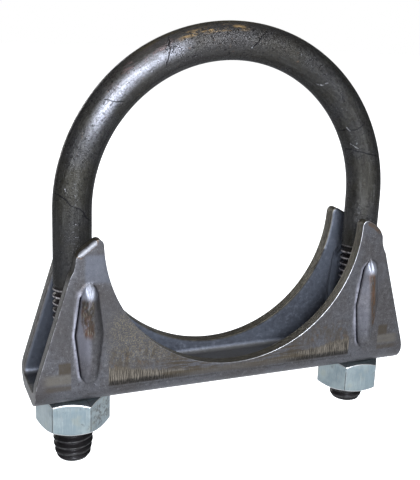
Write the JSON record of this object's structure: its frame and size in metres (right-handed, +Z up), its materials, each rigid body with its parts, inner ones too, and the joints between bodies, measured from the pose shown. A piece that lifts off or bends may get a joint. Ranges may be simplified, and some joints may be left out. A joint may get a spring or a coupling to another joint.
{
  "type": "u-bolt pipe clamp",
  "caption": "U-bolt clamp for an exhaust pipe: a threaded round-bar bow, a pressed channel saddle with ribbed ears, and hexagon nuts that draw them together.",
  "frame": {"origin": "centre of the saddle's round pipe seat, on the pipe's axis", "axes": "+Z up towards the bend of the U-bolt, +X along the saddle towards the shorter leg, +Y along the pipe's axis"},
  "size_m": [0.0808, 0.018, 0.0855],
  "materials": {
    "bolt_steel": "satin, dark mill scale",
    "saddle_steel": "satin, plain pressed sheet with light rust marks",
    "zinc_plate": "semi-gloss pale blue zinc plating"
  },
  "bodies": {
    "saddle": {"saddle": "saddle_steel"},
    "u_bolt": {"u_bolt": "bolt_steel"},
    "nut_left": {"nut_left": "zinc_plate"},
    "nut_right": {"nut_right": "zinc_plate"}
  },
  "joints": [
    {"name": "clamp_travel", "type": "slide", "parent": "saddle", "child": "u_bolt", "axis": [0, 0, -1], "range_m": [-0.0035, 0.021]},
    {"name": "nut_left_turn", "type": "hinge", "parent": "saddle", "child": "nut_left", "pos_m": [-0.03168, 0, -0.03592], "axis": [0, 0, 1], "range_deg": [-900, 5400]},
    {"name": "nut_right_turn", "type": "hinge", "parent": "saddle", "child": "nut_right", "pos_m": [0.03168, 0, -0.03592], "axis": [0, 0, 1], "range_deg": [-900, 5400]}
  ],
  "couplings": [
    {"joint": "nut_left_turn", "follows": "clamp_travel", "rad_per_m": 4452.6},
    {"joint": "nut_right_turn", "follows": "clamp_travel", "rad_per_m": 4452.6}
  ]
}
